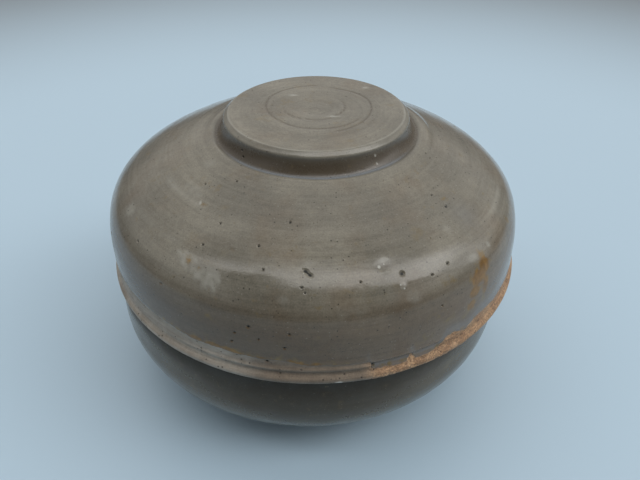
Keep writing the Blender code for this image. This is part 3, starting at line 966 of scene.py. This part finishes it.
def rust_over(net, place, color):
    """The colour with rust over it, in freckles and in the rust zone."""
    grain = net.noise(place, 420.0, detail=3.0, roughness=0.6)
    freckles = net.times(net.ramp(net.noise(place, 110.0), 0.60, 0.74), net.ramp(grain, 0.4, 0.65))
    stained = net.times_plus(net.minus(grain, 0.5), 1.6, net.attribute("rust"))
    rust = net.math("MAXIMUM", net.times(freckles, 0.35), net.ramp(stained, 0.15, 0.75))
    orange = net.mix(net.ramp(grain, 0.35, 0.65), *ORANGE_RUST)
    ochre = net.mix(net.ramp(net.attribute("rust"), 0.35, 0.70), OCHRE, orange)
    return net.mix(net.times(rust, 0.95), color, ochre)


def clay_color(net, place, streaks):
    """Bare clay's colour, grey, brown or orange as the warm zone says, and its pores."""
    warm = net.attribute("warm")
    blotches = net.ramp(net.noise(place, 260.0, detail=4.0, roughness=0.65), *MIDDLE)
    clay = net.mix(net.ramp(warm, 0.0, 0.5), net.mix(blotches, *GREY_CLAY), net.mix(blotches, *BROWN_CLAY))
    clay = net.mix(net.ramp(warm, 0.5, 1.0), clay, net.mix(blotches, *ORANGE_CLAY))
    shade = net.cells(place, 2300.0)[1]
    grains = net.times(net.ramp(warm, 0.4, 1.0, 0.12, 0.75), net.minus(shade, 0.5))
    lines = net.ramp(streaks, *MIDDLE, 0.84, 1.12)
    clay = net.mix(1.0, clay, grey(net, net.plus(grains, lines)), "MULTIPLY")
    clay = net.mix(net.attribute("pale"), clay, WORN_CLAY_COLOR)
    pores = dots(net, place, 800.0, 0.30, 0.74, 0.8)
    return net.mix(pores, clay, PORE_COLOR), pores


def skin_normal(net, place, streaks, is_bare, pores):
    """Fine unevenness: orange peel and streaks in the glaze, grains and pores in bare clay."""
    skin = net.times(net.noise(place, 420.0, detail=3.0), ORANGE_PEEL)
    skin = net.plus(skin, net.times(net.noise(place, 1800.0), FINE_PEEL))
    skin = net.plus(skin, net.times(net.minus(streaks, 0.5), STREAK_DEPTH))
    clay_skin = net.times(net.noise(place, 1600.0, detail=3.0, roughness=0.65), CLAY_GRAIN)
    clay_skin = net.minus(clay_skin, net.times(pores, PORE_DEPTH))
    height = net.new("ShaderNodeMix", data_type="FLOAT")
    net.fill(height, (0, 2, 3), (is_bare, skin, clay_skin))
    bump = net.new("ShaderNodeBump")
    net.fill(bump, ("Height", "Distance"), (height.outputs[0], 1.0))
    return bump.outputs[0]


def dots(net, place, scale, size, share, strength):
    """Scattered round dots: how many there are to the metre, their size in that spacing, and the
    share of them left out."""
    distance, random = net.cells(place, scale)
    chosen = net.ramp(random, share, share + 0.02, 0.0, strength)
    return net.times(net.ramp(distance, size, size / 2), chosen)


def grey(net, value):
    """A grey as bright as the value."""
    combine = net.new("ShaderNodeCombineColor")
    net.fill(combine, (0, 1, 2), (value, value, value))
    return combine.outputs[0]


# ---- floor, light and camera

def add_floor():
    bpy.ops.mesh.primitive_plane_add(size=FLOOR_SIZE, location=(0, 0, 0))
    floor = bpy.context.object
    floor.name = "floor"
    material = bpy.data.materials.new("floor")
    material.use_nodes = True
    net = Nodes(material.node_tree)
    away = net.new("ShaderNodeVectorMath", operation="LENGTH")
    net.feed(away.inputs[0], net.new("ShaderNodeTexCoord").outputs["Object"])
    shader = material.node_tree.nodes["Principled BSDF"]
    far_off = net.ramp(away.outputs["Value"], *FLOOR_FADE)
    color = net.mix(far_off, FLOOR_PALE, FLOOR_FAR)
    net.fill(shader, ("Base Color", "Roughness"), (color, FLOOR_ROUGHNESS))
    floor.data.materials.append(material)


def add_sky():
    """A studio tent: a bright arch over the front, dimmer cloth overhead and behind it, dark below
    the arch in front, and lighter below it at both sides."""
    world = bpy.data.worlds.new("studio")
    world.use_nodes = True
    bpy.context.scene.world = world
    net = Nodes(world.node_tree)
    towards = net.new("ShaderNodeTexCoord").outputs["Generated"]
    split = net.new("ShaderNodeSeparateXYZ")
    net.feed(split.inputs[0], towards)
    right, back, up = split.outputs
    dot = net.new("ShaderNodeVectorMath", operation="DOT_PRODUCT")
    net.fill(dot, (0, 1), (towards, ARCH_AXIS))
    inside = dot.outputs["Value"]
    cloth = net.ramp(inside, *CLOTH)
    rise = net.ramp(up, 0.0, HORIZON_RISE, HORIZON_GLOW, 1.0)

    past_foot = net.minus(inside, net.ramp(right, *ARCH_STEP, *ARCH_FOOT))
    arch = net.times(net.ramp(past_foot, *ARCH_SOFT_FOOT), net.ramp(inside, *ARCH_TOP))
    arch = net.times(arch, net.ramp(net.times_plus(right, ARCH_TWIST, back), *ARCH_BACK))
    arch = net.times(arch, net.ramp(right, *ARCH_LEFT_END, ARCH_END_GLOW[0], 1.0))
    arch = net.times(arch, net.ramp(right, *ARCH_RIGHT_END, ARCH_END_GLOW[1], 1.0))
    arch_glow = net.times_plus(right, ARCH_GLOW * ARCH_LEAN, ARCH_GLOW)

    sides = net.ramp(net.math("ABSOLUTE", right), *SIDE_SPAN, FRONT_GLOW, SIDE_GLOW)
    sides = net.times(sides, net.times_plus(right, SIDE_LEAN, 1.0))
    sides = net.times(sides, rise)
    sides = net.times(sides, net.minus(1.0, cloth))

    cloth_glow = net.times_plus(right, CLOTH_LEAN, 1.0)
    cloth_glow = net.times(cloth_glow, net.ramp(up, *CLOTH_RISE, *CLOTH_GLOW))
    cloth_glow = net.times(cloth_glow, rise)
    dim = net.times_plus(cloth, cloth_glow, sides)
    strength = net.times_plus(arch, arch_glow, dim)
    background = world.node_tree.nodes["Background"]
    background.inputs["Color"].default_value = LIGHT_COLOR
    net.feed(background.inputs["Strength"], strength)


def add_camera():
    data = bpy.data.cameras.new("camera")
    data.lens = CAMERA_LENS
    data.sensor_width = CAMERA_SENSOR
    data.clip_start = 0.01
    camera = bpy.data.objects.new("camera", data)
    turned = (
        Matrix.Rotation(-CAMERA_YAW, 4, "Z")
        @ Matrix.Rotation(math.pi / 2 - CAMERA_PITCH, 4, "X")
        @ Matrix.Rotation(CAMERA_ROLL, 4, "Z")
    )
    camera.matrix_world = Matrix.Translation((0.0, -CAMERA_DISTANCE, CAMERA_HEIGHT)) @ turned
    bpy.context.scene.collection.objects.link(camera)
    bpy.context.scene.camera = camera


def main():
    add_camera()
    add_floor()
    add_sky()
    bpy.context.scene.view_settings.view_transform = "Standard"

    lid = lid_surface()
    lid.data.materials.append(stoneware("lid_stoneware", LID_GLAZE))
    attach(lid, "lid")
    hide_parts("lid")

    bowl = bowl_surface()
    bowl.data.materials.append(stoneware("bowl_stoneware", BOWL_GLAZE))
    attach(bowl, "bowl")
    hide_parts("bowl")


main()
